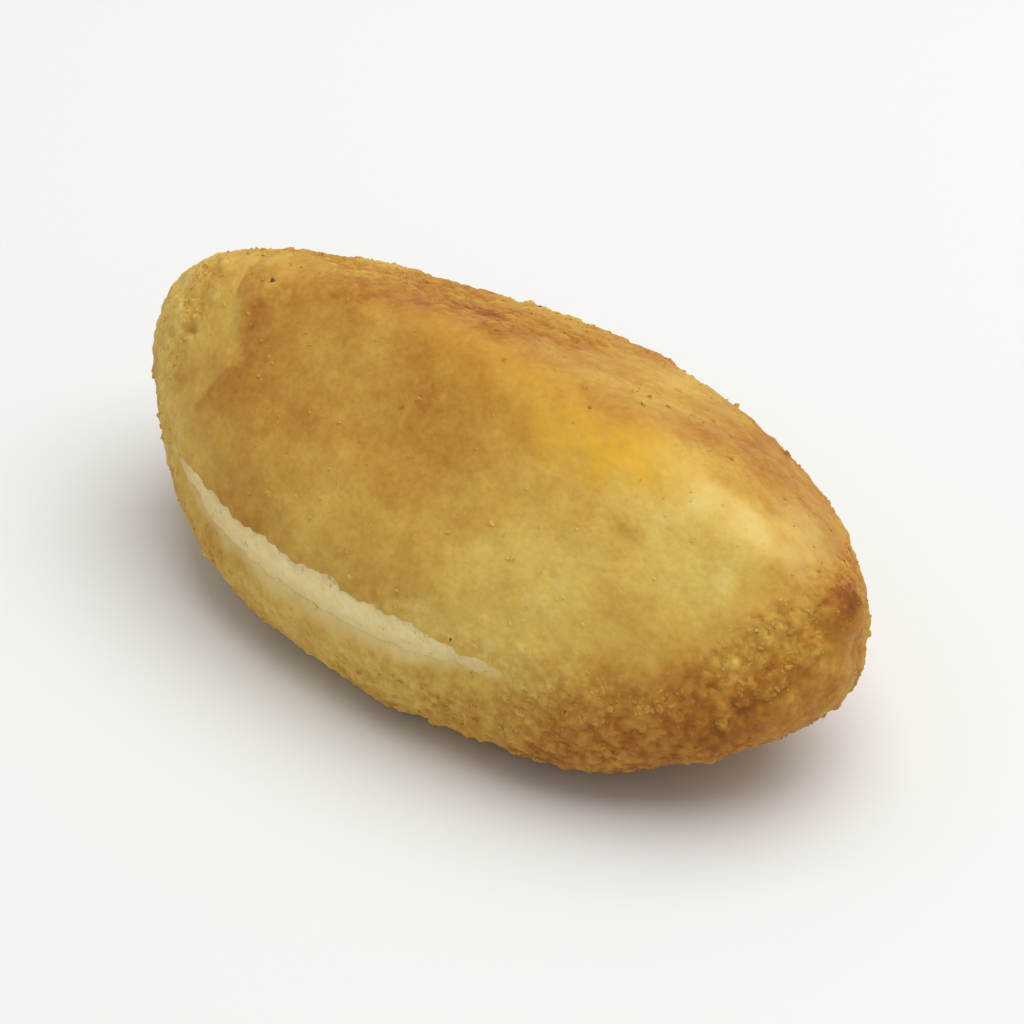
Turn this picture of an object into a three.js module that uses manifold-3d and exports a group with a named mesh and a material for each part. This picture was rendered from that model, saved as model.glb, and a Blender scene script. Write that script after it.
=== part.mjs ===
// An egg croquette: a quarter of a hard-boiled egg inside a soft coating that has been crumbed and
// fried. It lies on the egg's round side with the yolk's edge up, so its section is a rounded wedge
// with a crest on top and a rim at each side. Along the front rim the coating has split, and the
// egg white bulges into the split.
//
// Units are millimetres. +X runs along the croquette to its narrow end, +Y to its back and +Z up.
// The origin is on the table, under the middle of the croquette.
import * as THREE from "three";
import { mergeVertices } from "three/addons/utils/BufferGeometryUtils.js";
import Module from "manifold-3d";

const wasm = await Module();
wasm.setup();

// ---- The croquette's outside ----
const LENGTH = 74;
const ROUNDING = 4.4; // radius that rounds every corner of the section
const SOFTNESS = 2.8; // how far, in mm, one corner of the section blends into the next
const BEND = 0.8; // the ends stand this far to the back of the middle

// Corners of the section at mid-length, before rounding: across, and up from the table.
const SECTION = [
  { y: -0.5, z: 26.3, taper: "crest" },
  { y: -13.3, z: 15.1, taper: "rim" },
  { y: -13.2, z: 4.4, taper: "belly" },
  { y: 0, z: 2.8, taper: "belly" },
  { y: 12.4, z: 5, taper: "belly" },
  { y: 15.2, z: 17.9, taper: "rim" },
];
// How the corners draw in to each end: a power of the end curve, where 1 is round and less is blunter.
const TAPER = {
  crest: { blunt: 0.71, narrow: 0.73 },
  rim: { blunt: 0.96, narrow: 0.92 },
  belly: { blunt: 0.94, narrow: 0.83 },
};
const END_HEIGHT = { blunt: 17.8, narrow: 12.9 };

// Uneven places of the coating: where along (x), which way round the section (degrees, 90 is up
// and 180 is the front), how wide and how high.
const LUMPS = [
  { name: "belly swelling near the blunt end", x: -19, around: 222, width: 8, height: 0.7 },
  { name: "belly swelling near the narrow end", x: 20, around: 225, width: 6, height: 0.7 },
  { name: "shoulder of the blunt end", x: -35.5, around: 115, width: 6, height: 0.7 },
  { name: "tip of the blunt end", x: -36.5, around: 180, width: 7, height: 0.3 },
  { name: "hollow behind the crest", x: -12, around: 57, width: 7.5, height: -1 },
  { name: "knob on the narrow end", x: 34.5, around: 50, width: 3.2, height: 1 },
  { name: "notch under the knob", x: 35.8, around: 20, width: 2.4, height: -0.9 },
  { name: "fold on the narrow end", x: 35.5, around: 290, width: 5, height: 0.3 },
  { name: "crease above the fold", x: 33, around: 160, width: 3, height: -0.5 },
  { name: "hollow in the front face", x: -9, around: 118, width: 9, height: -0.3 },
  { name: "swelling of the front face", x: 14, around: 130, width: 11, height: 0.3 },
];

// ---- The egg inside ----
const EGG_LENGTH = 60;
const EGG_RADIUS = 21;
const EGG_AXIS = { y: -0.3, z: 25.4 }; // the egg's own axis, which is the wedge's inner edge
const WEDGE_ANGLE = 90; // the egg is cut in quarters
const WEDGE_ROLL = 5; // the wedge leans, which lifts its front rim
const THINNEST_COAT = 2.2;
const FREE_GAP = 0.3; // kept between the egg and the coating

// ---- The split along the front rim ----
const SPLIT = {
  from: -26.5, // x of its two ends
  to: 14.5,
  around: 172, // which way round the section it lies
  halfWidth: 1.6,
  fullness: 0.7, // how fast it opens from its points: a power of a sine, where less is fuller
  narrowest: 0.02, // the sine's least value, so that the points keep a width
  eggBelow: 0.5, // the egg white stands this far below the coating's surface
  depth: 4.5,
};

// ---- How finely the faceted solids are divided ----
const SKIN_AROUND = 60;
const SKIN_ALONG = 44;
const EGG_AROUND = 56;
const EGG_ALONG = 22;
const SPLIT_STEPS = 18;
const SLOPE_STEP = 0.01; // radians either way, where the skin's slope is measured
const MERGE_WITHIN = 1e-4; // vertices this near each other are one
const LEAST_END_CURVE = 1e-6; // keeps the powers of the end curve above zero at the poles

const radians = THREE.MathUtils.degToRad;
const bluntToNarrow = (t) => THREE.MathUtils.smoothstep(t, 0, Math.PI);

// A place on the skin from t, the angle along it (0 at the blunt end, PI at the narrow one), and
// phi, the way its section's surface faces. A smooth mean of the section's corners, weighted by how
// far each lies that way, is pushed out by the rounding, less any inset.
function plainSkin(t, phi, inset = 0) {
  const end = bluntToNarrow(t);
  const endCurve = Math.max(Math.sin(t), LEAST_END_CURVE);
  const endHeight = THREE.MathUtils.lerp(END_HEIGHT.blunt, END_HEIGHT.narrow, end);
  const facing = new THREE.Vector2(Math.cos(phi), Math.sin(phi));
  const corners = SECTION.map(({ y, z, taper }) => {
    const power = THREE.MathUtils.lerp(TAPER[taper].blunt, TAPER[taper].narrow, end);
    const share = endCurve ** power;
    return new THREE.Vector2(y * share, endHeight + (z - endHeight) * share);
  });
  const reach = corners.map((corner) => corner.dot(facing));
  const furthest = Math.max(...reach);
  const weights = reach.map((r) => Math.exp((r - furthest) / SOFTNESS));
  const total = weights.reduce((sum, w) => sum + w, 0);
  const centre = new THREE.Vector2();
  corners.forEach((corner, i) => centre.addScaledVector(corner, weights[i] / total));
  const x = -(LENGTH / 2 - ROUNDING) * Math.cos(t);
  const push = ROUNDING - inset;
  return new THREE.Vector3(
    x - push * Math.cos(t),
    centre.x + push * Math.sin(t) * facing.x + BEND * (x / (LENGTH / 2)) ** 2,
    centre.y + push * Math.sin(t) * facing.y,
  );
}

const along = (x) => Math.acos(THREE.MathUtils.clamp(-x / (LENGTH / 2), -1, 1));
const outward = (t, phi) =>
  new THREE.Vector3(-Math.cos(t), Math.sin(t) * Math.cos(phi), Math.sin(t) * Math.sin(phi));

const lumpCentres = LUMPS.map((lump) => ({
  ...lump,
  centre: plainSkin(along(lump.x), radians(lump.around)),
}));

// The skin with its uneven places, or a surface a set distance inside it.
function skin(t, phi, inset = 0) {
  const place = plainSkin(t, phi);
  const raised = lumpCentres.reduce((sum, { centre, width, height }) => {
    const share = place.distanceTo(centre) / width;
    return sum + height * Math.exp(-share * share);
  }, 0);
  return plainSkin(t, phi, inset).addScaledVector(outward(t, phi), raised);
}

// Moves every vertex of a geometry by a function from its place to a new one.
function reshape(geometry, move) {
  const places = geometry.getAttribute("position");
  const vertex = new THREE.Vector3();
  for (let i = 0; i < places.count; i++) {
    const moved = move(vertex.fromBufferAttribute(places, i));
    places.setXYZ(i, moved.x, moved.y, moved.z);
  }
  return geometry;
}

function toSolid(geometry) {
  const bare = geometry.clone();
  bare.deleteAttribute("normal");
  bare.deleteAttribute("uv");
  const merged = mergeVertices(bare, MERGE_WITHIN);
  return new wasm.Manifold(
    new wasm.Mesh({
      numProp: 3,
      vertProperties: new Float32Array(merged.getAttribute("position").array),
      triVerts: new Uint32Array(merged.index.array),
    }),
  );
}

function toGeometry(solid) {
  const mesh = solid.getMesh();
  const geometry = new THREE.BufferGeometry();
  geometry.setAttribute("position", new THREE.BufferAttribute(mesh.vertProperties, 3));
  geometry.setIndex(new THREE.BufferAttribute(mesh.triVerts, 1));
  geometry.computeVertexNormals();
  return geometry;
}

// The croquette's outside, or a surface a set distance inside it, as a solid.
function skinSolid(inset = 0) {
  const ball = new THREE.SphereGeometry(1, SKIN_AROUND, SKIN_ALONG).rotateZ(Math.PI / 2);
  reshape(ball, (n) => {
    const t = Math.acos(THREE.MathUtils.clamp(-n.x, -1, 1));
    return skin(t, Math.atan2(n.z, n.y), inset);
  });
  return toSolid(ball);
}

// Everything above a height, used to cut the croquette flat where it has settled on the table.
function above(height) {
  const room = 2 * LENGTH;
  return toSolid(new THREE.BoxGeometry(room, room, room).translate(0, 0, height + room / 2));
}

// A quarter of an egg: an egg turned round its axis, cut by a wedge with its edge on that axis.
function eggWedge(grow) {
  const half = EGG_LENGTH / 2 + grow;
  const profile = [];
  for (let i = 0; i <= EGG_ALONG; i++) {
    const t = (Math.PI * i) / EGG_ALONG;
    const radius = i === 0 || i === EGG_ALONG ? 0 : (EGG_RADIUS + grow) * Math.sin(t);
    profile.push(new THREE.Vector2(radius, -half * Math.cos(t)));
  }
  const egg = new THREE.LatheGeometry(profile, EGG_AROUND).rotateZ(-Math.PI / 2);

  const raised = grow * Math.SQRT2; // keeps the same gap to both cut faces
  const reach = 2 * EGG_RADIUS;
  const fan = new THREE.Shape();
  fan.moveTo(0, raised);
  fan.lineTo(-reach * Math.tan(radians(WEDGE_ANGLE / 2)), raised - reach);
  fan.lineTo(reach * Math.tan(radians(WEDGE_ANGLE / 2)), raised - reach);
  const prism = new THREE.ExtrudeGeometry(fan, { depth: 2 * LENGTH, bevelEnabled: false });
  prism.translate(0, 0, -LENGTH).rotateY(Math.PI / 2).rotateX(Math.PI / 2);

  const wedge = toSolid(egg).intersect(toSolid(prism));
  const placed = toSolid(
    toGeometry(wedge).rotateX(radians(-WEDGE_ROLL)).translate(0, EGG_AXIS.y, EGG_AXIS.z),
  );
  return placed.intersect(skinSolid(THINNEST_COAT - grow));
}

// A blade along the split, pointed at both ends, from one depth under the skin to another.
function splitBlade(halfWidth, from, to) {
  const start = along(SPLIT.from);
  const finish = along(SPLIT.to);
  const phi = radians(SPLIT.around);
  const bar = new THREE.BoxGeometry(1, 1, 1, SPLIT_STEPS, 1, 1);
  reshape(bar, (place) => {
    const share = place.x + 0.5;
    const t = THREE.MathUtils.lerp(start, finish, share);
    const centre = skin(t, phi);
    const across = skin(t, phi + SLOPE_STEP).sub(skin(t, phi - SLOPE_STEP)).normalize();
    const ahead = skin(t + SLOPE_STEP, phi).sub(skin(t - SLOPE_STEP, phi)).normalize();
    const out = new THREE.Vector3().crossVectors(across, ahead).normalize();
    if (out.dot(outward(t, phi)) < 0) out.negate();
    const opening = Math.max(Math.sin(Math.PI * share), SPLIT.narrowest) ** SPLIT.fullness;
    return centre
      .addScaledVector(across, 2 * place.y * halfWidth * opening)
      .addScaledVector(out, THREE.MathUtils.lerp(from, to, place.z + 0.5));
  });
  const solid = toSolid(bar);
  if (solid.volume() > 0) return solid;
  const flipped = bar.index.array;
  for (let i = 0; i < flipped.length; i += 3) {
    [flipped[i + 1], flipped[i + 2]] = [flipped[i + 2], flipped[i + 1]];
  }
  return toSolid(bar);
}

const whole = skinSolid().intersect(above(0));
const eggBulge = splitBlade(SPLIT.halfWidth, -SPLIT.depth, -SPLIT.eggBelow);
const egg = eggWedge(0).add(eggBulge);
const splitOpening = splitBlade(SPLIT.halfWidth + FREE_GAP, -SPLIT.depth - FREE_GAP, ROUNDING);
const coating = whole.subtract(eggWedge(FREE_GAP)).subtract(splitOpening);

// Puts the origin under the middle of the croquette.
const box = toGeometry(whole);
box.computeBoundingBox();
const middle = box.boundingBox.getCenter(new THREE.Vector3());

const croquette = new THREE.Group();
function addPiece(name, solid, material) {
  const piece = new THREE.Mesh(toGeometry(solid), material);
  piece.name = name;
  piece.position.set(-middle.x, -middle.y, 0);
  croquette.add(piece);
}

addPiece(
  "coating",
  coating,
  new THREE.MeshStandardMaterial({ color: 0xc49246, roughness: 0.55, metalness: 0 }),
);
addPiece(
  "egg_white",
  egg,
  new THREE.MeshStandardMaterial({ color: 0xe6dfc0, roughness: 0.4, metalness: 0 }),
);

export default croquette;
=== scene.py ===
# A fried egg croquette: a quarter of a boiled egg in a crumbed coating that has split along its
# front rim. +X runs along the croquette to its narrow end, +Y to its back and +Z up.
# Objects are in metres, as the frame is. Shaping is worked out in millimetres.
import math

import bmesh
import bpy
import numpy as np
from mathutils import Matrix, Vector
from mathutils.bvhtree import BVHTree
from mathutils.kdtree import KDTree


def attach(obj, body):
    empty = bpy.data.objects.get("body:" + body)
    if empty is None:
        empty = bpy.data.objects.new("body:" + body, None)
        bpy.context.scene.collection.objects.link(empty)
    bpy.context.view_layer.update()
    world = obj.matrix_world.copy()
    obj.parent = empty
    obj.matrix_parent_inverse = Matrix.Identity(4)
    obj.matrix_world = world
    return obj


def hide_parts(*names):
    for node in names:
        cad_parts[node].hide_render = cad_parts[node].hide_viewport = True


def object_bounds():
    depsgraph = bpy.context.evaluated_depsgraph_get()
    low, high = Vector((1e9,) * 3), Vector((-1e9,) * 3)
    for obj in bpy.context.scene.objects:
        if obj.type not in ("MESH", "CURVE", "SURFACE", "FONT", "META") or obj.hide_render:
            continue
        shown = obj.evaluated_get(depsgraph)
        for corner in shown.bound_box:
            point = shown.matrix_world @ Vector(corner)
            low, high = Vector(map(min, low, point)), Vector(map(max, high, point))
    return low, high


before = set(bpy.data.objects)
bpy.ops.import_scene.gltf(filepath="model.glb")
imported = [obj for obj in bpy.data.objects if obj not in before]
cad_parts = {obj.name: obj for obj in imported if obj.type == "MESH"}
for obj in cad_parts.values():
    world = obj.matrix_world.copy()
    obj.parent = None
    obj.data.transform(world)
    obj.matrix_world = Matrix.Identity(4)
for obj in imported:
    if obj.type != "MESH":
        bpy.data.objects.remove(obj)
CAD_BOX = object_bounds()
MM = 0.001
LOW, HIGH = (np.array(corner) / MM for corner in CAD_BOX)
HALF_LENGTH = (HIGH[0] - LOW[0]) / 2
HALF_WIDTH = (HIGH[1] - LOW[1]) / 2
HEIGHT = HIGH[2] - LOW[2]
AXIS_HEIGHT = 0.465 * HEIGHT  # the line inside the croquette that angles round it are measured from
ALONG, ACROSS, UP = np.eye(3)
SPLIT_STRETCH = (-0.8, 0.5)  # where the split is looked for, as shares of the half length
SPLIT_HEIGHTS = (0.2, 0.65)  # and as shares of the height
FRONT = (-0.3 * HALF_WIDTH, -0.5 * HALF_WIDTH)  # between these, in mm, the front side begins


# ------------------------------------------------------------------ camera

VIEW_AZIMUTH, VIEW_ELEVATION, VIEW_DISTANCE = 40.76, 37, 507
AIM = Vector((0.35, -0.74, 14.8))
AIM_RIGHT, AIM_DOWN = 1.28, 1.89
SENSOR, LENS = 36, 211
NEAREST, FURTHEST = 0.01, 20  # what the camera sees, in metres


def camera():
    azimuth, elevation = math.radians(VIEW_AZIMUTH), math.radians(VIEW_ELEVATION)
    back = Vector((math.sin(azimuth) * math.cos(elevation),
                   -math.cos(azimuth) * math.cos(elevation),
                   math.sin(elevation)))
    right = Vector((math.cos(azimuth), math.sin(azimuth), 0))
    target = AIM + right * AIM_RIGHT - back.cross(right) * AIM_DOWN
    lens = bpy.data.cameras.new("camera")
    lens.sensor_width = SENSOR
    lens.lens = LENS
    lens.clip_start = NEAREST
    lens.clip_end = FURTHEST
    eye = bpy.data.objects.new("camera", lens)
    eye.location = (target + back * VIEW_DISTANCE) * MM
    eye.rotation_euler = back.to_track_quat("Z", "Y").to_euler()
    bpy.context.scene.collection.objects.link(eye)
    bpy.context.scene.camera = eye


camera()


# ------------------------------------------------------------------ numbers on a mesh

def points_of(mesh):
    points = np.empty(len(mesh.vertices) * 3)
    mesh.vertices.foreach_get("co", points)
    return points.reshape(-1, 3) / MM


def put_points(mesh, points):
    mesh.vertices.foreach_set("co", (points * MM).ravel())
    mesh.update()


def normals_of(mesh):
    normals = np.empty(len(mesh.vertices) * 3, np.float32)
    mesh.vertex_normals.foreach_get("vector", normals)
    return normals.reshape(-1, 3).astype(float)


def edges_of(mesh):
    edges = np.empty(len(mesh.edges) * 2, np.int32)
    mesh.edges.foreach_get("vertices", edges)
    return edges.reshape(-1, 2)


def put_values(mesh, name, values):
    attribute = mesh.attributes.new(name, "FLOAT", "POINT")
    attribute.data.foreach_set("value", values.astype(np.float32))


def values_of(mesh, name):
    values = np.empty(len(mesh.vertices), np.float32)
    mesh.attributes[name].data.foreach_get("value", values)
    return values.astype(float)


def averaged(values, edges, count):
    """The mean of each point's neighbours."""
    a, b = edges.T
    neighbours = np.bincount(a, minlength=count) + np.bincount(b, minlength=count)
    return (np.bincount(a, values[b], count) + np.bincount(b, values[a], count)) / neighbours


def smoothed(points, edges, rounds, share):
    """Moves each point towards the middle of its neighbours by its share, a number of rounds."""
    for _ in range(rounds):
        middle = np.stack([averaged(points[:, k], edges, len(points)) for k in range(3)], axis=1)
        points = points + share[:, None] * (middle - points)
    return points


def fade(x, low, high):
    """0 up to low, 1 from high on, and a smooth step between. With low above high it falls."""
    t = np.clip((x - low) / (high - low), 0, 1)
    return t * t * (3 - 2 * t)


def hump(x, width):
    """1 at 0, falling smoothly to nearly nothing at twice the width."""
    return np.exp(-(x / width) ** 2)


# ------------------------------------------------------------------ uneven shapes

def whole_cells(points, size):
    scaled = points / size
    cell = np.floor(scaled)
    return cell.astype(np.int64), scaled - cell


def scramble(cell, seed):
    """A number from 0 to 1 for each cell of a grid, the same every time."""
    mixed = (cell @ np.array([73856093, 19349663, 83492791])) ^ (seed * 2654435761)
    mixed = (mixed ^ (mixed >> 13)) * 1274126177
    mixed = (mixed ^ (mixed >> 16)) * 2246822519
    return ((mixed >> 7) & 0xFFFFF) / 0xFFFFF


CORNERS = np.array([[i, j, k] for i in (0, 1) for j in (0, 1) for k in (0, 1)])
NEIGHBOURS = np.array([[i, j, k] for i in (-1, 0, 1) for j in (-1, 0, 1) for k in (-1, 0, 1)])


def waves(points, size, seed):
    """Smooth unevenness from -1 to 1, with swells about size across."""
    cell, inside = whole_cells(points, size)
    ease = inside**3 * (inside * (inside * 6 - 15) + 10)
    total = np.zeros(len(points))
    for corner in CORNERS:
        slope = np.stack([scramble(cell + corner, seed + k) for k in range(3)], axis=1) * 2 - 1
        weight = np.prod(np.where(corner, ease, 1 - ease), axis=1)
        total += weight * np.sum(slope * (inside - corner), axis=1)
    return np.clip(total * 1.7, -1, 1)


def drift(points, size, seed):
    """Unevenness of a place, as an offset of up to 1 in each direction."""
    return np.stack([waves(points, size, seed + 10 * k) for k in range(3)], axis=1)


def grains(points, size, seed, share):
    """Round bumps from 0 to 1 about size across, one in a share of the places that could hold one."""
    cell, inside = whole_cells(points, size)
    height = np.zeros(len(points))
    for step in NEIGHBOURS:
        there = cell + step
        centre = step + np.stack([scramble(there, seed + k) for k in range(3)], axis=1)
        radius = 0.35 + 0.35 * scramble(there, seed + 3)
        away = np.linalg.norm(inside - centre, axis=1) / radius
        bump = np.sqrt(np.clip(1 - away**2, 0, 1)) * radius / 0.7
        height = np.maximum(height, np.where(scramble(there, seed + 4) < share, bump, 0))
    return height


# ------------------------------------------------------------------ the frame's solids

SHARED_CORNER = 0.005  # corners nearer than this are one, in mm


def merged_copy(node, name):
    """A copy of a CAD node with its shared corners joined."""
    piece = bpy.data.objects.new(name, node.data.copy())
    bpy.context.scene.collection.objects.link(piece)
    piece.data.materials.clear()
    weld = piece.modifiers.new("weld", "WELD")
    weld.merge_threshold = SHARED_CORNER * MM
    return piece


def settled(piece):
    """The piece's mesh with its modifiers applied, and the modifiers removed."""
    graph = bpy.context.evaluated_depsgraph_get()
    mesh = bpy.data.meshes.new_from_object(piece.evaluated_get(graph))
    piece.modifiers.clear()
    piece.data = mesh
    return mesh


def without_strays(mesh):
    """Takes away what isn't joined to the largest part of the mesh."""
    a, b = edges_of(mesh).T
    part, lowest = None, np.arange(len(mesh.vertices))
    while not np.array_equal(part, lowest):
        part, lowest = lowest, lowest.copy()
        np.minimum.at(lowest, a, part[b])
        np.minimum.at(lowest, b, part[a])
        lowest = lowest[lowest]
    stray = np.flatnonzero(part != np.bincount(part).argmax())
    whole = bmesh.new()
    whole.from_mesh(mesh)
    whole.verts.ensure_lookup_table()
    bmesh.ops.delete(whole, geom=[whole.verts[k] for k in stray], context="VERTS")
    whole.to_mesh(mesh)
    whole.free()
    return mesh


def even_grid(piece, size):
    """Gives the piece an even mesh with edges of about size, in millimetres."""
    grid = piece.modifiers.new("even grid", "REMESH")
    grid.mode = "VOXEL"
    grid.voxel_size = size * MM
    return without_strays(settled(piece))


def solid_tree(node):
    mesh = node.data
    return BVHTree.FromPolygons([v.co / MM for v in mesh.vertices], [p.vertices for p in mesh.polygons])


COATING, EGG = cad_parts["coating"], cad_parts["egg_white"]
COATING_TREE, EGG_TREE = solid_tree(COATING), solid_tree(EGG)


def on_skin(along, around):
    """The place on the coating at a share of the half length and an angle round the section, where
    90 is up, 180 is the front and 270 is down."""
    turn = math.radians(around)
    way = math.cos(turn) * ACROSS + math.sin(turn) * UP
    inside = along * HALF_LENGTH * ALONG + AXIS_HEIGHT * UP
    far = Vector(inside + 2 * HEIGHT * way)
    hit = COATING_TREE.ray_cast(far, Vector(-way))[0] or COATING_TREE.find_nearest(Vector(inside))[0]
    return np.array(hit)


def split_reading():
    """Where the coating is split: for places along it, the heights of the lower and the upper lip."""
    places = []
    heights = np.arange(SPLIT_HEIGHTS[0] * HEIGHT, SPLIT_HEIGHTS[1] * HEIGHT, 0.1)
    for x in np.linspace(*SPLIT_STRETCH, 60) * HALF_LENGTH:
        open_heights = []
        for z in heights:
            start = Vector((x, -2 * HALF_WIDTH, z))
            coating = COATING_TREE.ray_cast(start, Vector(ACROSS))[3]
            egg = EGG_TREE.ray_cast(start, Vector(ACROSS))[3]
            if egg and (not coating or egg < coating):
                open_heights.append(z)
        if open_heights:
            places.append((x, min(open_heights), max(open_heights)))
    return np.array(places)


SPLIT = split_reading()


def split_place(points):
    """How far each point is above the split's upper lip and below its lower lip, and how open the
    split is there, from 0 beyond its ends to 1 at its widest."""
    x, z = points[:, 0], points[:, 2]
    lower = np.interp(x, SPLIT[:, 0], SPLIT[:, 1])
    upper = np.interp(x, SPLIT[:, 0], SPLIT[:, 2])
    widest = (SPLIT[:, 2] - SPLIT[:, 1]).max()
    ends = np.interp(x, [SPLIT[0, 0] - 1, SPLIT[0, 0], SPLIT[-1, 0], SPLIT[-1, 0] + 1], [0, 1, 1, 0])
    return z - upper, lower - z, (upper - lower) / widest * ends


def in_front(points):
    """1 on the front side, where the split is, and 0 on the rest."""
    return fade(points[:, 1], *FRONT)


def sideways(points):
    """The way that faces out of the croquette's side, level with the table."""
    way = points * [1 / HALF_LENGTH**2, 1 / HALF_WIDTH**2, 0]
    return way / np.linalg.norm(way, axis=1, keepdims=True)


# ------------------------------------------------------------------ places with a look of their own

def near(points, along, around, size, stretch=1.0):
    """1 at a place on the skin and 0 from size mm away, reaching further along the croquette by a
    stretch."""
    away = points - on_skin(along, around)
    away[:, 0] /= stretch
    return fade(np.linalg.norm(away, axis=1), size, 0)


def strokes(points, places):
    """The strongest of a list of places, each given as along, around, size, stretch and strength."""
    strength = np.zeros(len(points))
    for along, around, size, stretch, full in places:
        strength = np.maximum(strength, full * near(points, along, around, size, stretch))
    return strength


def polyline(places, steps=12):
    """Points along a line through places on the skin."""
    ends = np.array([on_skin(*place) for place in places])
    spots = np.linspace(0, len(ends) - 1, steps * (len(ends) - 1) + 1)
    return np.stack([np.interp(spots, range(len(ends)), ends[:, k]) for k in range(3)], axis=1)


def beside(points, line, reach=6.0):
    """How far each point is from a line, counted negative towards the blunt end. Points further
    than reach away are all at reach."""
    signed = np.full(len(points), reach)
    close = np.flatnonzero(np.linalg.norm(points - line.mean(axis=0), axis=1)
                           < np.ptp(line, axis=0).max() + reach)
    away = points[close, None, :] - line[None, :, :]
    distance = np.linalg.norm(away, axis=2)
    closest = distance.argmin(axis=1)
    offset = away[np.arange(len(close)), closest]
    signed[close] = np.minimum(distance.min(axis=1), reach) * np.where(offset @ ALONG < 0, -1, 1)
    return signed


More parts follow.
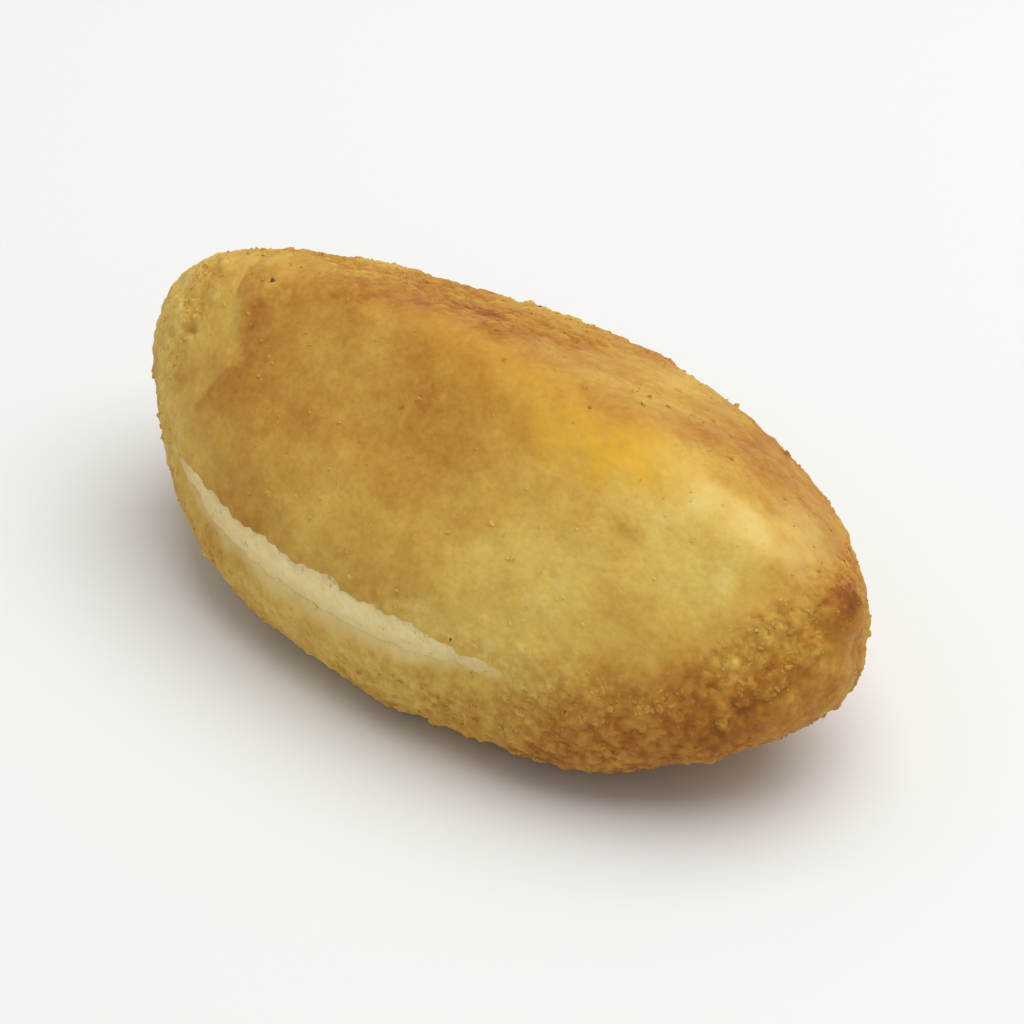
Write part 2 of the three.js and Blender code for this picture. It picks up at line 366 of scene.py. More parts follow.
# How toasted the coating is at places on it: 0 is the palest batter, 0.5 is golden brown and 1 is
# burnt. On the back the values are higher than its toasting alone, as painted shade. Each row is
# along, around, toasting.
TOASTED_AND_SHADED = [
    # the blunt end
    (-0.80, 134, 0.28), (-0.93, 140, 0.22), (-0.98, 150, 0.36), (-0.89, 106, 0.24), (-0.82, 91, 0.40),
    (-0.88, 118, 0.26), (-0.72, 158, 0.56), (-0.84, 156, 0.24), (-0.73, 173, 0.20), (-0.66, 182, 0.20),
    (-0.88, 185, 0.36), (-0.90, 40, 0.46), (-0.95, 340, 0.52), (-0.66, 91, 0.30), (-0.71, 114, 0.30),
    (-0.70, 138, 0.28), (-0.66, 150, 0.47), (-0.60, 181, 0.30),
    # the front face
    (-0.64, 105, 0.48), (-0.56, 98, 0.58), (-0.50, 106, 0.56), (-0.46, 102, 0.49), (-0.31, 105, 0.42),
    (-0.24, 96, 0.52), (-0.56, 116, 0.60), (-0.52, 130, 0.57), (-0.53, 144, 0.60), (-0.41, 124, 0.43),
    (-0.40, 147, 0.50), (-0.56, 166, 0.44), (-0.48, 160, 0.52), (-0.44, 172, 0.38), (-0.35, 167, 0.42),
    (-0.27, 144, 0.50), (-0.21, 161, 0.30), (-0.24, 116, 0.44), (-0.20, 129, 0.38), (-0.16, 176, 0.22),
    (-0.08, 178, 0.32), (-0.38, 177, 0.56), (-0.26, 171, 0.38), (-0.10, 165, 0.38), (-0.09, 112, 0.56),
    (0.00, 115, 0.50), (-0.03, 128, 0.50), (0.07, 136, 0.62), (0.02, 145, 0.52), (-0.12, 143, 0.50),
    (-0.04, 161, 0.36), (0.02, 176, 0.35), (0.10, 109, 0.56), (0.12, 124, 0.50), (0.11, 162, 0.46),
    (0.08, 152, 0.34), (0.15, 171, 0.42), (0.14, 144, 0.40), (0.23, 132, 0.38), (0.24, 164, 0.25),
    (0.26, 152, 0.09), (0.20, 180, 0.06), (0.29, 178, 0.18), (0.34, 184, 0.00), (0.30, 144, 0.24),
    (0.35, 156, 0.13), (0.34, 169, 0.22), (0.43, 170, 0.12), (0.46, 159, 0.13), (0.46, 140, 0.24),
    (0.40, 122, 0.36), (0.54, 164, 0.22), (0.55, 148, 0.31), (0.59, 138, 0.22), (0.61, 123, 0.15),
    (0.70, 133, 0.17), (0.75, 127, 0.12), (0.76, 148, 0.19), (0.67, 169, 0.28), (0.62, 156, 0.23),
    (0.68, 179, 0.56), (0.77, 164, 0.52), (0.78, 177, 0.63), (0.43, 186, 0.28), (0.57, 191, 0.50),
    (0.63, 181, 0.44),
    # the crest, its yolk and its pale streak
    (-0.56, 90, 0.48), (-0.48, 85, 0.44), (-0.41, 90, 0.62), (-0.33, 88, 0.76), (-0.24, 85, 0.66),
    (-0.15, 91, 0.54), (-0.06, 87, 0.72), (-0.09, 100, 0.48), (0.02, 97, 0.60), (0.12, 94, 0.54),
    (0.20, 102, 0.46), (0.30, 98, 0.50), (0.37, 98, 0.60), (0.43, 95, 0.60), (0.36, 108, 0.34),
    (0.44, 83, 0.52), (0.52, 104, 0.16), (0.54, 89, 0.28), (0.62, 110, 0.04), (0.67, 103, 0.06),
    (0.67, 95, 0.04), (0.76, 102, 0.14), (0.71, 88, 0.30), (0.74, 95, 0.07), (0.79, 91, 0.14),
    (0.82, 102, 0.12), (0.85, 117, 0.26), (0.74, 82, 0.62), (0.74, 74, 0.60), (0.66, 82, 0.52),
    (0.60, 82, 0.42), (0.82, 79, 0.48),
    # the narrow end
    (0.80, 70, 0.60), (0.86, 64, 0.52), (0.89, 125, 0.58), (0.90, 98, 0.50), (0.90, 150, 0.60),
    (0.84, 138, 0.30), (0.91, 82, 0.68), (0.87, 181, 0.71), (0.97, 95, 0.44), (0.98, 125, 0.60),
    (0.98, 78, 0.64), (0.97, 40, 0.52), (0.97, 180, 0.55), (0.97, 205, 0.60), (0.85, 35, 0.58),
    (0.86, 193, 0.76), (0.93, 202, 0.72), (0.82, 212, 0.62), (0.92, 10, 0.58),
    # the back, browner than its toasting alone: partly its own toasting and partly painted shade
    (-0.20, 78, 0.62), (-0.02, 74, 0.64), (0.06, 63, 0.64), (-0.15, 60, 0.66), (-0.35, 60, 0.66),
    (-0.60, 60, 0.62), (0.20, 54, 0.42), (0.19, 70, 0.50), (0.29, 65, 0.36), (0.36, 62, 0.38),
    (0.27, 41, 0.32), (0.40, 39, 0.54), (0.48, 68, 0.62), (0.59, 70, 0.58), (0.68, 66, 0.50),
    (0.53, 42, 0.54), (0.60, 56, 0.62), (0.66, 49, 0.58), (0.77, 52, 0.50), (0.92, 50, 0.68),
    (0.05, 43, 0.54), (-0.06, 42, 0.52), (-0.62, 35, 0.34), (-0.40, 35, 0.60), (-0.18, 22, 0.36),
    (0.06, 15, 0.60), (0.30, 5, 0.38), (0.52, 22, 0.62), (0.75, 20, 0.50), (-0.45, 5, 0.40),
    (-0.20, 0, 0.62), (0.60, 0, 0.44), (-0.70, 0, 0.58), (-0.70, 20, 0.48),
    # below the split and underneath
    (-0.52, 192, 0.40), (-0.42, 194, 0.44), (-0.37, 200, 0.22), (-0.30, 198, 0.24), (-0.05, 199, 0.22),
    (0.16, 202, 0.26), (0.32, 208, 0.48), (0.42, 199, 0.50), (0.55, 197, 0.62), (0.52, 209, 0.66),
    (0.64, 201, 0.70), (0.65, 190, 0.62), (0.75, 190, 0.70), (0.75, 204, 0.66), (-0.70, 205, 0.40),
    (-0.40, 215, 0.40), (0.00, 218, 0.42), (0.40, 226, 0.62), (0.72, 222, 0.66), (-0.50, 270, 0.60),
    (0.00, 270, 0.62), (0.50, 270, 0.66), (-0.40, 320, 0.52), (0.10, 320, 0.52), (0.60, 320, 0.56),
]
REACH = 2.2  # how far a place holds its own toasting, in mm

# Small patches that stand out from their surroundings: along, around, size, stretch, strength.
# The first list is toasted further, except its patch over the pit, which is painted shade in the
# hollow; under YOLK the yolk or the frying oil glows through, and at PALE the batter is thin.
SCORCHED_AND_SHADED = [
    # the third patch, over the pit, darkens the hollow as painted shade
    (-0.60, 120, 3.2, 1.0, 0.12), (-0.44, 91, 3.4, 1.6, 0.05), (-0.78, 135, 0.8, 1.3, 0.20),
    (-0.10, 105, 2.2, 1.4, 0.07), (-0.04, 117, 2.6, 1.0, 0.08), (0.05, 111, 2.4, 1.6, 0.07),
    (-0.05, 136, 3.2, 1.2, 0.05), (-0.13, 69, 2.3, 1.2, 0.20), (0.54, 128, 1.5, 1.2, 0.18),
    (0.95, 72, 3.0, 1.0, 0.35), (-0.03, 60, 0.5, 1.0, 0.60), (0.87, 201, 4.0, 1.3, 0.11),
    (0.10, 52, 5.0, 2.2, 0.08), (0.50, 50, 6.0, 2.2, 0.05),
]
YOLK = [
    (0.02, 101, 4.6, 2.0, 0.3), (0.19, 103, 4.8, 1.8, 0.5), (0.34, 108, 4.8, 1.8, 0.88),
    (0.46, 103, 4.6, 1.6, 0.9), (-0.13, 94, 3.8, 1.8, 0.16), (0.56, 98, 3.2, 1.3, 0.4),
    (0.89, 195, 4.6, 1.6, 0.12), (0.96, 130, 3.6, 1.4, 0.22), (0.95, 70, 2.6, 1.0, 0.04),
]
PALE = [
    (0.64, 97, 2.4, 1.8, 0.26), (0.76, 96, 2.3, 2.4, 0.34), (0.84, 88, 2.8, 1.6, 0.26),
    (0.80, 66, 4.0, 1.8, 0.26), (-0.90, 106, 2.6, 1.4, 0.16),
]
# Lines on the skin, as along and around: the border of the thicker cap on the blunt end and the
# edge of the fold at the narrow end.
CAP_BORDER = [
    (-0.74, 72), (-0.72, 88), (-0.71, 100), (-0.68, 115), (-0.63, 125), (-0.59, 139), (-0.67, 158),
]
FOLD_EDGE = [
    (0.86, 188), (0.925, 176), (0.94, 160), (0.955, 142), (0.955, 128), (0.935, 112), (0.92, 97),
]
# Single features: along, around, size.
PIT = (-0.78, 135, 1.0)
KNOB = (0.953, 70, 3.1)
NOTCH = (0.97, 10, 2.0)
# Where more crumbs stuck to the upper faces: along, around, size, stretch, share.
CRUMBLY = [
    (-0.62, 104, 5.0, 1.5, 0.40), (-0.42, 92, 5.0, 2.0, 0.32), (-0.05, 112, 4.5, 1.3, 0.16),
    (-0.11, 76, 4.0, 2.0, 0.35), (0.55, 70, 4.0, 2.0, 0.30),
]


def toasting_and_shade(points):
    """How toasted each point is, drawn from the places of TOASTED_AND_SHADED with ragged borders, with
    painted shade added on the back, in the crease under the fold and in the pit.
    """
    moved = points + 1.1 * drift(points, 5.0, 71) + 0.5 * drift(points, 1.9, 72)
    total, weights = np.zeros(len(points)), np.zeros(len(points))
    for along, around, toast in TOASTED_AND_SHADED:
        away = np.linalg.norm(moved - on_skin(along, around), axis=1)
        weight = (away**2 + REACH**2) ** -2
        total += weight * toast
        weights += weight
    toast = total / weights + strokes(moved, SCORCHED_AND_SHADED)
    border = beside(moved, polyline(CAP_BORDER))
    toast += 0.08 * hump(border - 0.8, 1.0) - 0.07 * hump(border + 0.8, 0.9)
    # painted shade: a little darker along the crease under the fold
    toast += 0.02 * hump(folded_edge(points) - 0.5, 0.9)
    return toast


# ------------------------------------------------------------------ the coating

COATING_GRID = 0.34
COATING_TRIANGLES = 188000
SWELLS = [(9.0, 0.26, 11), (4.5, 0.17, 12), (2.2, 0.11, 13)]  # size, height, seed
GRAINS = [(1.3, 0.20, 23, 0.4), (0.95, 0.21, 21, 0.65), (0.68, 0.16, 22, 0.8)]  # and share
FINE_GRAIN, FINE_RELIEF = 0.75, 0.035
LUMP_TINT = 0.42  # how much paler a lump is for each mm that it stands up
LIP_ROOM = 2.5  # how far from the lips the wall inside keeps its fine mesh, in mm
LIFT, CLEARANCE = 0.05, 0.3  # how far out, in mm, a look from a point begins
CAP_RISE, PIT_DEPTH = 0.16, 0.5
FOLD_RISE, CREASE_DEPTH = 0.44, 0.31
KNOB_RISE, KNOB_GROOVE, NOTCH_DEPTH = 0.85, 0.2, 0.35


def faces_the_air(points, normals):
    """1 where a point's way out meets neither solid, and 0 in the cavity and in the split."""
    clear = np.ones(len(points))
    for k, (point, way) in enumerate(zip(points + LIFT * normals, normals)):
        start, way = Vector(point), Vector(way)
        if EGG_TREE.ray_cast(start, way)[0] or COATING_TREE.ray_cast(start + CLEARANCE * way, way)[0]:
            clear[k] = 0
    return clear


def thin_inner_wall(piece, outside, near_lips):
    """Gives the hidden cavity a coarser mesh, so that the whole has COATING_TRIANGLES."""
    hidden = piece.vertex_groups.new(name="hidden")
    hidden.add(np.flatnonzero((outside < 0.01) & ~near_lips).tolist(), 1.0, "REPLACE")
    thinner = piece.modifiers.new("thinner", "DECIMATE")
    thinner.vertex_group = "hidden"
    thinner.ratio = COATING_TRIANGLES / (2 * len(piece.data.polygons))
    mesh = settled(piece)
    piece.vertex_groups.clear()
    return mesh


def coating_piece():
    piece = merged_copy(COATING, "fried_coating")
    mesh = even_grid(piece, COATING_GRID)
    points, edges = points_of(mesh), edges_of(mesh)
    above, below, opening = split_place(points)
    from_lips = np.maximum(above, below)
    near_lips = (in_front(points) > 0.5) & (np.abs(from_lips) < LIP_ROOM) & (opening > 0)
    outside = faces_the_air(points, normals_of(mesh))
    for _ in range(3):
        outside = 0.5 * outside + 0.5 * averaged(outside, edges, len(points))
    put_values(mesh, "outside", outside)
    mesh = thin_inner_wall(piece, outside, near_lips)

    points, edges, outside = points_of(mesh), edges_of(mesh), values_of(mesh, "outside")
    above, below, opening = split_place(points)
    at_split = in_front(points) * fade(opening, 0, 0.12)
    at_lips = at_split * fade(np.abs(np.maximum(above, below)), 1.1, 0.3)
    points = smoothed(points, edges, 30, 0.8 * fade(outside, 0.5, 0.95) * (1 - at_lips))
    points = smoothed(points, edges, 4, 0.5 * outside)
    put_points(mesh, points)
    return piece, mesh, outside, at_split


def folded_edge(points):
    """How far each point is from the fold at the narrow end, counted negative inwards."""
    return beside(points + 0.35 * drift(points, 2.5, 41), polyline(FOLD_EDGE))


def lumpy(points):
    """How high, in mm, the crumbs grown into the crust stand at each point."""
    return sum(height * grains(points, size, seed, share) for size, height, seed, share in GRAINS)


def swollen(points, normals, outside, crumbling, at_split, lumps):
    """The coating with its swells, grains and folds."""
    relief = np.zeros(len(points))
    for size, height, seed in SWELLS:
        relief += height * waves(points, size, seed)
    relief += lumps * (0.03 + 0.97 * fade(crumbling, 0.05, 0.9))
    relief += FINE_RELIEF * waves(points, FINE_GRAIN, 31)
    cap = beside(points, polyline(CAP_BORDER))
    relief += CAP_RISE * fade(cap, -0.6, 0.4) * fade(cap, 5.5, 2.5)
    relief -= PIT_DEPTH * near(points, *PIT)
    fold = folded_edge(points)
    torn = 0.7 + 0.5 * waves(points, 3.0, 42)
    relief += torn * (FOLD_RISE * hump(fold + 0.9, 1.1) - CREASE_DEPTH * hump(fold - 0.5, 0.8))
    knob = near(points, *KNOB)
    relief += KNOB_RISE * fade(knob, 0.1, 0.6) - KNOB_GROOVE * hump(knob - 0.08, 0.08)
    relief -= NOTCH_DEPTH * near(points, *NOTCH)
    keep = 1 - 0.7 * at_split * fade(np.abs(np.maximum(*split_place(points)[:2])), 1.6, 0.4)
    return points + (relief * outside * keep)[:, None] * normals


TEARS = [(4.1, 0.6, 51), (1.6, 0.5, 52), (0.7, 0.35, 53)]  # size, share, seed
LIP = 0.9  # how far from its edge a lip is shaped
UPPER_LIP_OUT, UPPER_LIP_DROP = 0.36, 0.8
LOWER_LIP_IN, LOWER_LIP_RISE = 0.42, 0.2


def ragged_lips(points, at_split):
    """Draws the upper lip out and down over the white with a torn edge, and thins the lower lip."""
    above, below, opening = split_place(points)
    lengthwise = points * [1, 0.3, 0.1]
    tear = sum(share * waves(lengthwise, size, seed) for size, share, seed in TEARS)
    upper = at_split * hump(above, LIP)
    lower = at_split * hump(below, LIP)
    out = sideways(points)
    points = points + (upper * (UPPER_LIP_OUT + 0.16 * tear))[:, None] * out
    other_tear = waves(lengthwise, 2.7, 54) + 0.5 * waves(lengthwise, 0.9, 55)
    drop = np.clip(UPPER_LIP_DROP + 0.8 * tear, -0.1, 1.7)
    rise = np.clip(LOWER_LIP_RISE + 0.4 * other_tear, -0.4, 0.8)
    points[:, 2] -= upper * drop * fade(opening, 0.1, 0.5)
    points[:, 2] += lower * rise * fade(opening, 0.1, 0.5)
    return points - (at_split * hump(below, 1.3) * LOWER_LIP_IN)[:, None] * out


STRAY_SHARE = 0.03  # how thick the crumbs lie where hardly any stuck


def crumbliness(points, at_split):
    """How thick the crumbs lie: 1 on the sides and the narrow end, and little on the upper faces."""
    around = np.arctan2(points[:, 2] - AXIS_HEIGHT, points[:, 1])
    along = points[:, 0] / HALF_LENGTH
    low_side = fade(np.sin(around), 0.25, -0.25) * (1 - 0.5 * fade(along, 0.1, -0.3))
    narrow_end = fade(along + 0.12 * (1 - np.sin(around)), 0.83, 0.94)
    blunt_end = 0.75 * fade(along, -0.64, -0.86)
    smooth_slope = fade(along, -0.15, 0.2) * fade(np.sin(around), 0.1, 0.6)
    back = 0.8 * fade(np.cos(around), -0.08, 0.24) * (1 - 0.7 * smooth_slope)
    patches = 0.25 * waves(points, 7.0, 61) + 0.15 * waves(points, 2.8, 62)
    stuck = np.maximum(strokes(points, CRUMBLY), STRAY_SHARE)
    share = np.maximum.reduce([low_side, narrow_end, blunt_end, back, stuck])
    lobe = fade(folded_edge(points), 0.6, 1.4) * narrow_end
    share *= 1 - 0.6 * lobe
    _, below, _ = split_place(points)
    bare_lip = at_split * fade(below, -0.5, 0.3) * fade(below, 3.5, 1.0)
    return np.clip(share + patches * fade(share, 0.02, 0.4), 0.02, 1) * (1 - 0.75 * bare_lip)


def paint(mesh, points, outside, at_split, crumbling, lumps):
    """Writes what the finishes and the scatter read: the toasting with some painted shade, the yolk
    that shows through, how thin the batter is, how thick crumbs lie and where loose ones are scattered."""
    above, below, opening = split_place(points)
    moved = points + 0.6 * drift(points, 3.0, 81)
    toast = toasting_and_shade(points)
    toast -= LUMP_TINT * (lumps - lumps.mean()) * fade(crumbling, 0.05, 0.6)
    upper_edge = at_split * fade(above, 1.8, 0.2) * fade(above, -0.6, 0.0)
    toast += 0.07 * upper_edge
    inner = at_split * fade(np.maximum(above, below), 0.0, -0.35)
    reach = 0.7 + 2.2 * fade(opening, 0.1, 1.1)
    thin = at_split * fade(below + 0.45 * waves(points, 1.6, 82), reach, 0.1) * fade(below, -0.6, -0.2)
    thin *= 1 - 0.25 * fade(points[:, 0], -0.2 * HALF_LENGTH, -0.5 * HALF_LENGTH)
    put_values(mesh, "toast", toast)
    in_fold = hump(folded_edge(points) - 0.5, 1.2)
    put_values(mesh, "yolk", strokes(moved, YOLK) * (1 - 0.6 * in_fold))
    put_values(mesh, "thin", np.maximum.reduce([thin, 0.6 * inner, strokes(moved, PALE)]))
    clear_of_table = fade(points[:, 2], 0.4, 1.0)
    open_lip = 1 - at_split * fade(np.maximum(above, below), 0.35, 0.0)
    put_values(mesh, "crumbs", crumbling * fade(outside, 0.85, 0.98) * clear_of_table * open_lip)
    clusters = fade(waves(moved, 2.2, 83) + 0.5 * waves(moved, 1.1, 84), -0.35, 0.55)
    sparse = fade(crumbling, 0.1, 0.04)
    put_values(mesh, "scatter", values_of(mesh, "crumbs") * np.maximum(clusters, sparse))
    mesh.attributes.remove(mesh.attributes["outside"])


def finished_coating():
    piece, mesh, outside, at_split = coating_piece()
    flat_points = points_of(mesh)
    crumbling = crumbliness(flat_points, at_split)
    lumps = lumpy(flat_points)
    points = swollen(flat_points, normals_of(mesh), outside, crumbling, at_split, lumps)
    points = ragged_lips(points, at_split)
    points[:, 2] = np.maximum(points[:, 2], 0)
    paint(mesh, flat_points, outside, at_split, crumbling, lumps)
    put_points(mesh, points)
    mesh.polygons.foreach_set("use_smooth", [True] * len(mesh.polygons))
    skin = KDTree(int((outside > 0.9).sum()))
    for k in np.flatnonzero(outside > 0.9):
        skin.insert(Vector(points[k]), int(k))
    skin.balance()
    return piece, skin


coating, SKIN = finished_coating()


# ------------------------------------------------------------------ the egg white

EGG_GRID = 0.32
CROWN_SWELLS = [(2.4, 0.14, 91), (1.1, 0.20, 92), (0.65, 0.12, 94)]  # size, height, seed
CROWN_DEPTH = (2.4, 1.8)  # how deep under the skin, in mm, the crown begins and is whole
CROWN_TUCK = 1.0  # how far the crown of the white goes under each lip


def egg_piece():
    """The white, with its crown filling the split and tucked under both lips."""
    piece = merged_copy(EGG, "boiled_white")
    mesh = even_grid(piece, EGG_GRID)
    points, edges = points_of(mesh), edges_of(mesh)
    points = smoothed(points, edges, 14, np.full(len(points), 0.7))
    depth = np.array([SKIN.find(Vector(point))[2] for point in points])
    above, below, opening = split_place(points)
    crown = in_front(points) * fade(depth, *CROWN_DEPTH) * fade(np.maximum(above, below), 1.5, 0.5)
    half_open = -(above + below) / 2
    from_middle = (above - below) / 2
    points[:, 2] += crown * from_middle * CROWN_TUCK / np.maximum(half_open, 0.6)
    across = fade(from_middle, -1.5, 1.5)
    closing = fade(opening, 0.5, 0.1)
    uneven = sum(height * waves(points, size, seed) for size, height, seed in CROWN_SWELLS)
    out = crown * (0.46 - 0.40 * across + 0.42 * closing + uneven)
    points += out[:, None] * sideways(points)
    points = smoothed(points, edges, 1, np.full(len(points), 0.4))
    put_points(mesh, points)
    above, below, opening = split_place(points)
    clouded = fade(points[:, 0], -0.2 * HALF_LENGTH, -0.55 * HALF_LENGTH)
    film = fade(below + 0.4 * waves(points, 1.3, 93), -1.4, 0.0)
    ends = fade(opening, 0.7, 0.1)
    put_values(mesh, "batter", np.maximum(0.6 * film + 0.5 * ends, clouded * (0.45 + 0.4 * film)))
    mesh.polygons.foreach_set("use_smooth", [True] * len(mesh.polygons))
    return piece


egg_white = egg_piece()


# ------------------------------------------------------------------ making materials

class Amount:
    """A number that varies over a surface. Arithmetic on it adds Math nodes to its finish."""

    def __init__(self, finish, socket):
        self.finish, self.socket = finish, socket

    def math(self, operation, *numbers):
        values = dict(enumerate(numbers))
        return self.finish.node("ShaderNodeMath", {"operation": operation}, values)[0]

    def __add__(self, other):
        return self.math("ADD", self, other)

    def __sub__(self, other):
        return self.math("SUBTRACT", self, other)

    def __rsub__(self, other):
        return self.math("SUBTRACT", other, self)

    def __mul__(self, other):
        return self.math("MULTIPLY", self, other)

    __radd__, __rmul__ = __add__, __mul__

    def clipped(self, low, high):
        return self.math("MINIMUM", self.math("MAXIMUM", self, low), high)

    def step(self, low, high):
        """0 up to low, 1 from high on, and a smooth step between."""
        values = {"Value": self, "From Min": low, "From Max": high}
        return self.finish.node("ShaderNodeMapRange", {"interpolation_type": "SMOOTHSTEP"}, values)[0]


class Finish:
    """A material being made."""

    def __init__(self, name):
        self.material = bpy.data.materials.new(name)
        self.material.use_nodes = True
        self.tree = self.material.node_tree
        self.shader = self.tree.nodes["Principled BSDF"]
        self.place = self.node("ShaderNodeTexCoord")[3]

    def give(self, inputs, values):
        for name, value in values.items():
            if isinstance(value, Amount):
                self.tree.links.new(value.socket, inputs[name])
            else:
                inputs[name].default_value = value

    def node(self, kind, settings={}, values={}):
        """Adds a node and returns its outputs. A ramp's stops are one of its settings."""
        node = self.tree.nodes.new(kind)
        for name, value in settings.items():
            if name == "stops":
                stops = node.color_ramp.elements
                while len(stops) < len(value):
                    stops.new(1)
                for stop, (position, colour) in zip(stops, value):
                    stop.position, stop.color = position, colour
            else:
                setattr(node, name, value)
        self.give(node.inputs, values)
        return [Amount(self, socket) for socket in node.outputs]

    def attribute(self, name):
        return self.node("ShaderNodeAttribute", {"attribute_name": name})[2]

    def noise(self, size, detail=2.0, rough=0.5):
        """Unevenness from 0 to 1, with swells about size mm across."""
        values = {"Vector": self.place, "Scale": 1 / (size * MM), "Detail": detail, "Roughness": rough}
        return self.node("ShaderNodeTexNoise", {}, values)[0]

    def cells(self, size):
        """The distance to the middle of the nearest grain and that grain's own random colour."""
        values = {"Vector": self.place, "Scale": 1 / (size * MM)}
        return self.node("ShaderNodeTexVoronoi", {}, values)[:2]

    def mix(self, share, first, second, blend="MIX"):
        settings = {"data_type": "RGBA", "blend_type": blend}
        return self.node("ShaderNodeMix", settings, {0: share, 6: first, 7: second})[2]

    def bump(self, height, distance, strength=1.0, below=None):
        values = {"Height": height, "Distance": distance * MM, "Strength": strength}
        if below:
            values["Normal"] = below
        return self.node("ShaderNodeBump", {}, values)[0]


def tint(red, green, blue, light=1.0):
    """A colour given as it looks on a screen, in full light."""
    linear = [c / 12.92 if c < 0.04045 else ((c + 0.055) / 1.055) ** 2.4 for c in
              (red / 255, green / 255, blue / 255)]
    return (*[c * light for c in linear], 1)


TOAST_COLOURS = [
    (0.00, tint(227, 203, 129)), (0.15, tint(221, 188, 97)), (0.32, tint(208, 167, 77)),
    (0.48, tint(193, 145, 61)), (0.62, tint(179, 122, 47)), (0.76, tint(154, 92, 34)),
    (1.00, tint(90, 48, 20)),
]
YOLK_COLOUR = tint(231, 180, 50)
PALE_CRUMB = tint(222, 180, 104)
THIN_COLOUR = tint(236, 213, 146)
WHITE_COLOUR = tint(255, 238, 178)
CLOUDED_WHITE = tint(240, 214, 140)
BATTER_COLOUR = tint(228, 200, 130)


def crust_colour(finish, toast, speckled=1.0):
    """The fried crust's colour: its toasting with some painted shade, the yolk glowing through and the
    thin lip.
    """
    yolk, thin = finish.attribute("yolk"), finish.attribute("thin")
    mottle = finish.noise(4.5, 4.0, 0.62) - 0.5
    sand = finish.noise(0.55, 2.0, 0.6) - 0.5
    clumps = finish.noise(1.3, 2.0, 0.5) - 0.5
    toast = toast + mottle * 0.42 + clumps * (0.14 + finish.attribute("crumbs") * 0.26)
    toast = toast + sand * (0.20 * speckled)
    colour = finish.node("ShaderNodeValToRGB", {"stops": TOAST_COLOURS}, {"Fac": toast})[0]
    blotches = (finish.noise(2.6, 3.0, 0.6) - 0.5) * 2.0
    colour = finish.mix((yolk * (0.72 + blotches)).clipped(0, 1), colour, YOLK_COLOUR)
    return finish.mix((thin * (1.0 + sand)).clipped(0, 1), colour, THIN_COLOUR)


def crust_finish():
    finish = Finish("fried_crust")
    toast = finish.attribute("toast")
    crumbs = finish.attribute("crumbs")
    distance, own = finish.cells(0.62)
    grain = distance.step(0.75, 0.1)
    tone = finish.node("ShaderNodeSeparateColor", {}, {"Color": own})[0]
    toast = toast + (tone - 0.5) * (0.03 + 0.10 * crumbs)
    colour = crust_colour(finish, toast)
    fine = finish.noise(0.28, 3.0, 0.65)
    relief = finish.bump(grain * (0.25 + crumbs), 0.14, 0.5)
    relief = finish.bump(fine * (0.4 + 0.6 * crumbs), 0.10, 0.5, relief)
    roughness = 0.58 + (fine - 0.5) * 0.3 + crumbs * 0.1
    finish.give(finish.shader.inputs, {
        "Base Color": colour, "Roughness": roughness, "Normal": relief,
        "Subsurface Weight": 0.2, "Subsurface Radius": (1.0, 0.55, 0.2), "Subsurface Scale": 1.2 * MM,
        "Specular IOR Level": 0.1, "Sheen Weight": 0.05, "Sheen Roughness": 0.6,
        "Sheen Tint": tint(255, 240, 214),
    })
    return finish.material


def crumb_finish():
    finish = Finish("loose_crumbs")
    crumbs, tone = finish.attribute("crumbs"), finish.attribute("tone")
    toast = finish.attribute("toast") * 0.85 + (tone - 0.25) * (0.14 + 0.10 * crumbs)
    colour = crust_colour(finish, toast, 0.6)
    colour = finish.mix(tone.step(0.55, 0.85) * (0.12 + 0.3 * crumbs), colour, PALE_CRUMB)
    relief = finish.bump(finish.noise(0.22, 2.0, 0.6), 0.06, 0.6)
    finish.give(finish.shader.inputs, {
        "Base Color": colour, "Roughness": 0.55 + finish.noise(0.4) * 0.2, "Normal": relief,
        "Specular IOR Level": 0.1,
    })
    return finish.material


def burnt_finish():
    finish = Finish("burnt_crumbs")
    colour = finish.mix(finish.noise(0.5, 2.0), tint(70, 38, 20), tint(120, 72, 34))
    relief = finish.bump(finish.noise(0.2, 2.0), 0.05, 0.6)
    finish.give(finish.shader.inputs, {
        "Base Color": colour, "Roughness": 0.55 + finish.noise(0.4) * 0.15, "Normal": relief,
    })
    return finish.material


def white_finish():
    finish = Finish("boiled_egg_white")
    batter = finish.attribute("batter")
    cloud = (finish.noise(2.4, 3.0) * 0.6 + finish.noise(0.7, 3.0) * 1.2 - 0.4).clipped(0, 1)
    film = (batter + (finish.noise(0.6, 2.0) - 0.5) * 0.5).clipped(0, 1)
    colour = finish.mix(cloud, WHITE_COLOUR, CLOUDED_WHITE)
    colour = finish.mix(film, colour, BATTER_COLOUR)
    flecks = finish.noise(0.9, 2.5, 0.6).step(0.60, 0.74)
    colour = finish.mix(flecks * 0.6, colour, tint(168, 138, 84))
    relief = finish.bump(finish.noise(0.9, 3.0, 0.55), 0.40, 0.7)
    finish.give(finish.shader.inputs, {
        "Base Color": colour, "Roughness": 0.4 + film * 0.15, "Normal": relief,
        "Subsurface Weight": 0.2, "Subsurface Radius": (1.0, 0.8, 0.5), "Subsurface Scale": 0.6 * MM,
        "Specular IOR Level": 0.45,
    })
    return finish.material


coating.data.materials.append(crust_finish())
egg_white.data.materials.append(white_finish())


# ------------------------------------------------------------------ crumbs

CRUMB_SHAPES = 6
CRUMB_UNEVENNESS = 1.15


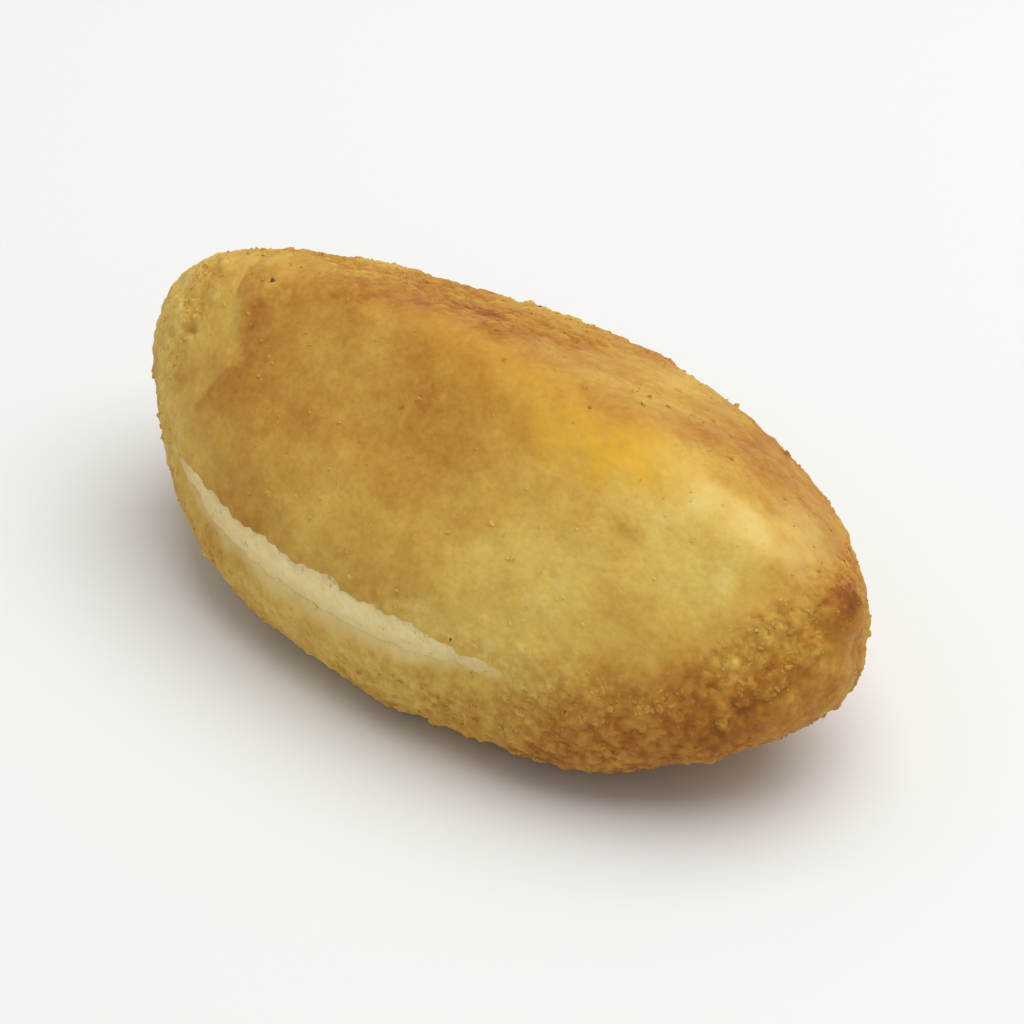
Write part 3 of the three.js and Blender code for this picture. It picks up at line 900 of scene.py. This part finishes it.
def crumb_tree():
    """Scatters uneven crumbs over a mesh. Each is raised by a share of its size, or sunk in the
    skin where that share is below 0."""
    tree = bpy.data.node_groups.new("crumb_scatter", "GeometryNodeTree")
    face = tree.interface
    face.new_socket("Geometry", in_out="INPUT", socket_type="NodeSocketGeometry")
    inputs = {"Share Name": "String", "Density": "Float", "Smallest": "Float", "Largest": "Float",
              "Raised": "Float", "Seed": "Int", "Finish": "Material"}
    for name, kind in inputs.items():
        face.new_socket(name, in_out="INPUT", socket_type="NodeSocket" + kind)
    face.new_socket("Geometry", in_out="OUTPUT", socket_type="NodeSocketGeometry")
    given = tree.nodes.new("NodeGroupInput").outputs

    def node(kind, settings={}, values={}):
        made = tree.nodes.new(kind)
        for name, value in settings.items():
            setattr(made, name, value)
        for name, value in values.items():
            if isinstance(value, bpy.types.NodeSocket):
                tree.links.new(value, made.inputs[name])
            else:
                made.inputs[name].default_value = value
        return made.outputs

    def vector_math(operation, *values):
        return node("ShaderNodeVectorMath", {"operation": operation}, dict(enumerate(values)))[0]

    def random(kind, low, high, seed_step):
        seed = node("FunctionNodeIntegerMath", {}, {0: given["Seed"], 1: seed_step})[0]
        names = {"FLOAT": (2, 3, 1), "FLOAT_VECTOR": (0, 1, 0)}[kind]
        return node("FunctionNodeRandomValue", {"data_type": kind},
                    {names[0]: low, names[1]: high, "Seed": seed})[names[2]]

    variants = node("GeometryNodeJoinGeometry")
    join = tree.nodes[-1]
    for shape in range(CRUMB_SHAPES):
        ball = node("GeometryNodeMeshIcoSphere", {}, {"Radius": 0.5, "Subdivisions": 1})[0]
        lumps = node("ShaderNodeTexNoise", {"noise_dimensions": "4D"},
                     {"W": 3.7 * shape + 0.4, "Scale": 1.3, "Detail": 1.0})[1]
        push = vector_math("SCALE", vector_math("SUBTRACT", lumps, (0.5, 0.5, 0.5)))
        push.node.inputs["Scale"].default_value = CRUMB_UNEVENNESS
        crumb = node("GeometryNodeSetPosition", {}, {"Geometry": ball, "Offset": push})[0]
        tree.links.new(node("GeometryNodeGeometryToInstance", {}, {0: crumb})[0], join.inputs[0])

    share = node("GeometryNodeInputNamedAttribute", {"data_type": "FLOAT"},
                 {"Name": given["Share Name"]})
    density = node("ShaderNodeMath", {"operation": "MULTIPLY"}, {0: share[0], 1: given["Density"]})[0]
    scatter = node("GeometryNodeDistributePointsOnFaces", {"distribute_method": "RANDOM"},
                   {"Mesh": given["Geometry"], "Density": density, "Seed": given["Seed"]})
    size = random("FLOAT", given["Smallest"], given["Largest"], 1)
    lift = node("ShaderNodeMath", {"operation": "MULTIPLY"}, {0: size, 1: given["Raised"]})[0]
    outwards = vector_math("SCALE", scatter[1])
    tree.links.new(lift, outwards.node.inputs["Scale"])
    resting = node("GeometryNodeSetPosition", {}, {"Geometry": scatter[0], "Offset": outwards})[0]
    stretch = random("FLOAT_VECTOR", (0.7, 0.6, 0.6), (1.35, 1.1, 1.1), 2)
    scale = vector_math("SCALE", stretch)
    tree.links.new(size, scale.node.inputs["Scale"])
    turn = random("FLOAT_VECTOR", (0, 0, 0), (2 * math.pi,) * 3, 3)
    crumbs = node("GeometryNodeInstanceOnPoints", {},
                  {"Points": resting, "Instance": variants[0], "Pick Instance": True,
                   "Rotation": turn, "Scale": scale})[0]
    toned = node("GeometryNodeStoreNamedAttribute", {"data_type": "FLOAT", "domain": "INSTANCE"},
                 {"Geometry": crumbs, "Name": "tone", "Value": random("FLOAT", 0.0, 1.0, 4)})[0]
    real = node("GeometryNodeRealizeInstances", {}, {0: toned})[0]
    coloured = node("GeometryNodeSetMaterial", {}, {"Geometry": real, "Material": given["Finish"]})[0]
    out = tree.nodes.new("NodeGroupOutput")
    tree.links.new(coloured, out.inputs[0])
    return tree


def scattered(name, source, tree, **settings):
    """A piece of crumbs scattered over another piece."""
    piece = bpy.data.objects.new(name, source.data.copy())
    bpy.context.scene.collection.objects.link(piece)
    piece.data.materials.clear()
    maker = piece.modifiers.new("crumbs", "NODES")
    maker.node_group = tree
    for item in tree.interface.items_tree:
        setting = item.name.lower().replace(" ", "_")
        if item.in_out == "INPUT" and setting in settings:
            maker[item.identifier] = settings[setting]
    settled(piece)
    return piece


TREE = crumb_tree()
CRUMBS, BURNT = crumb_finish(), burnt_finish()
PER_SQUARE_CM = 1e4
fine_crumbs = scattered(
    "fine_crumbs", coating, TREE, share_name="scatter", density=380 * PER_SQUARE_CM,
    smallest=0.20 * MM, largest=0.50 * MM, raised=-0.22, seed=11, finish=CRUMBS)
coarse_crumbs = scattered(
    "coarse_crumbs", coating, TREE, share_name="scatter", density=75 * PER_SQUARE_CM,
    smallest=0.45 * MM, largest=1.05 * MM, raised=-0.25, seed=23, finish=CRUMBS)
burnt_crumbs = scattered(
    "burnt_crumbs", coating, TREE, share_name="scatter", density=0.8 * PER_SQUARE_CM,
    smallest=0.30 * MM, largest=0.65 * MM, raised=-0.15, seed=37, finish=BURNT)


# ------------------------------------------------------------------ pieces and their bodies

for piece, slot in ((coating, "coating"), (fine_crumbs, "coating"), (coarse_crumbs, "coating"),
                    (burnt_crumbs, "coating"), (egg_white, "egg_white")):
    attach(piece, "root")
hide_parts("coating")
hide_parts("egg_white")


# ------------------------------------------------------------------ floor and light

FLOOR_SIZE = 6  # metres
FLOOR_COLOUR = (0.82, 0.82, 0.80, 1)
SKY_STRENGTH = 0.435
LAMP_WATTS, LAMP_SIZE, LAMP_PLACE = 8.0, 1.0, (0.15, 0.2, 0.85)


def floor_and_light():
    bpy.ops.mesh.primitive_plane_add(size=FLOOR_SIZE)
    floor = bpy.context.object
    floor.name = "floor"
    board = Finish("pale_floor")
    board.give(board.shader.inputs, {
        "Base Color": FLOOR_COLOUR, "Roughness": 0.8, "Specular IOR Level": 0.1,
    })
    floor.data.materials.append(board.material)

    world = bpy.data.worlds.new("sky")
    bpy.context.scene.world = world
    world.use_nodes = True
    sky = world.node_tree.nodes["Background"].inputs
    sky["Color"].default_value = (1, 1, 1, 1)
    sky["Strength"].default_value = SKY_STRENGTH
    bpy.context.scene.view_settings.view_transform = "Standard"

    light = bpy.data.lights.new("softbox", "AREA")
    light.energy = LAMP_WATTS
    light.size = LAMP_SIZE
    lamp = bpy.data.objects.new("softbox", light)
    lamp.location = LAMP_PLACE
    lamp.rotation_euler = Vector(lamp.location).to_track_quat("Z", "Y").to_euler()
    bpy.context.scene.collection.objects.link(lamp)


floor_and_light()
